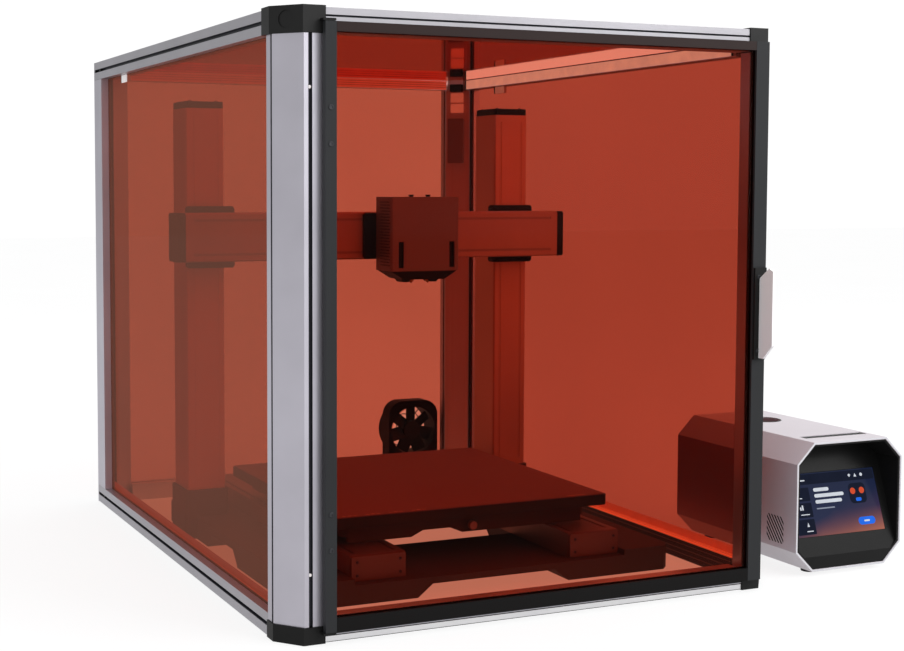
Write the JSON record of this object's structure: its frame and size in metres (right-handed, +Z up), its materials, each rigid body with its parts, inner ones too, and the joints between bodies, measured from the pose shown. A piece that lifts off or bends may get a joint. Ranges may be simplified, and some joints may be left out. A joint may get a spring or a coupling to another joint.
{
  "type": "enclosed fdm printer",
  "caption": "Gantry 3-D printer in an aluminium framed enclosure with tinted panels and a hinged front door, with a free-standing touch screen controller beside it.",
  "frame": {"origin": "middle of the whole object's footprint, enclosure and controller together, on the surface that it stands on", "axes": "+Z up; +X to the right as seen from the door, towards the controller; +Y to the back, away from the door"},
  "size_m": [0.953, 1.0054, 0.752],
  "materials": {
    "anodised_frame": "satin anodised extrusion",
    "bright_rail": "bright satin anodised extrusion",
    "black_plastic": "moulded matte black",
    "door_trim": "dark anodised, satin",
    "tinted_acrylic": "orange-red tinted acrylic sheet, clear and glossy",
    "module_shell": "satin anodised, fine brushed",
    "dark_casting": "dark powder coated casting",
    "bed_plate": "dark anodised plate",
    "print_surface": "fine textured coating",
    "tool_shell": "satin anodised",
    "brass": "machined",
    "controller_shell": "bead blasted anodised",
    "bezel": "black, semi gloss",
    "screen": "glass faced display, lit",
    "button_red": "dark red, semi gloss"
  },
  "bodies": {
    "enclosure": {"base_front_beam": "dark_casting", "base_rear_beam": "dark_casting", "base_side_left": "dark_casting", "base_side_right": "dark_casting", "bottom_corner_cap_left": "black_plastic", "bottom_corner_cap_right": "black_plastic", "bottom_rail_front": "bright_rail", "bottom_rail_left": "anodised_frame", "bottom_rail_rear": "bright_rail", "bottom_rail_right": "anodised_frame", "column_cap_left": "black_plastic", "column_cap_right": "black_plastic", "controller_bezel": "bezel", "controller_rear_plate": "black_plastic", "controller_shell": "controller_shell", "exhaust_fan_housing": "black_plastic", "left_panel": "tinted_acrylic", "lower_hinge_bracket": "bright_rail", "post_front_left": "anodised_frame", "post_front_right": "anodised_frame", "post_rear_left": "anodised_frame", "post_rear_right": "anodised_frame", "rear_panel": "tinted_acrylic", "right_panel": "tinted_acrylic", "top_corner_cap_left": "black_plastic", "top_corner_cap_right": "black_plastic", "top_panel": "tinted_acrylic", "top_rail_front": "bright_rail", "top_rail_left": "anodised_frame", "top_rail_rear": "bright_rail", "top_rail_right": "anodised_frame", "touch_screen": "screen", "upper_hinge_bracket": "bright_rail", "y_module_left": "module_shell", "y_module_right": "module_shell", "z_column_left": "module_shell", "z_column_right": "module_shell"},
    "door": {"door_panel": "tinted_acrylic", "door_hinge_stile": "door_trim", "door_latch_stile": "door_trim", "door_top_rail": "door_trim", "door_bottom_rail": "door_trim", "door_handle_base": "black_plastic", "door_handle": "bright_rail"},
    "bed": {"bed_platform": "dark_casting", "heated_bed": "bed_plate", "print_sheet": "print_surface"},
    "gantry": {"x_module": "module_shell", "x_end_cap_left": "black_plastic", "x_end_cap_right": "black_plastic", "z_carriage_left": "black_plastic", "z_carriage_right": "black_plastic"},
    "tool_head": {"tool_carriage": "black_plastic", "toolhead_cover": "tool_shell", "toolhead_duct": "black_plastic", "nozzle_left": "brass", "nozzle_right": "brass"},
    "fan": {"fan_rotor": "black_plastic"},
    "stop_button": {"stop_button": "button_red"},
    "power_rocker": {"power_rocker": "black_plastic"}
  },
  "joints": [
    {"name": "door_hinge", "type": "hinge", "parent": "enclosure", "child": "door", "pos_m": [-0.4205, -0.46565, 0], "axis": [0, 0, -1], "range_deg": [0, 105]},
    {"name": "bed_slide", "type": "slide", "parent": "enclosure", "child": "bed", "axis": [0, 1, 0], "range_m": [-0.121, 0.274]},
    {"name": "gantry_slide", "type": "slide", "parent": "enclosure", "child": "gantry", "axis": [0, 0, 1], "range_m": [-0.289, 0.11]},
    {"name": "tool_slide", "type": "slide", "parent": "gantry", "child": "tool_head", "axis": [1, 0, 0], "range_m": [-0.24, 0.16]},
    {"name": "fan_spin", "type": "hinge", "parent": "enclosure", "child": "fan", "pos_m": [0.1225, 0.46665, 0.086], "axis": [0, 1, 0], "continuous": true},
    {"name": "stop_press", "type": "slide", "parent": "enclosure", "child": "stop_button", "axis": [0, 0, -1], "range_m": [0, 0.003], "stiffness_N_per_m": 600, "springref_m": -0.002},
    {"name": "rocker_switch", "type": "hinge", "parent": "enclosure", "child": "power_rocker", "pos_m": [0.3405, -0.15565, 0.05], "axis": [-1, 0, 0], "range_deg": [0, 16]}
  ]
}
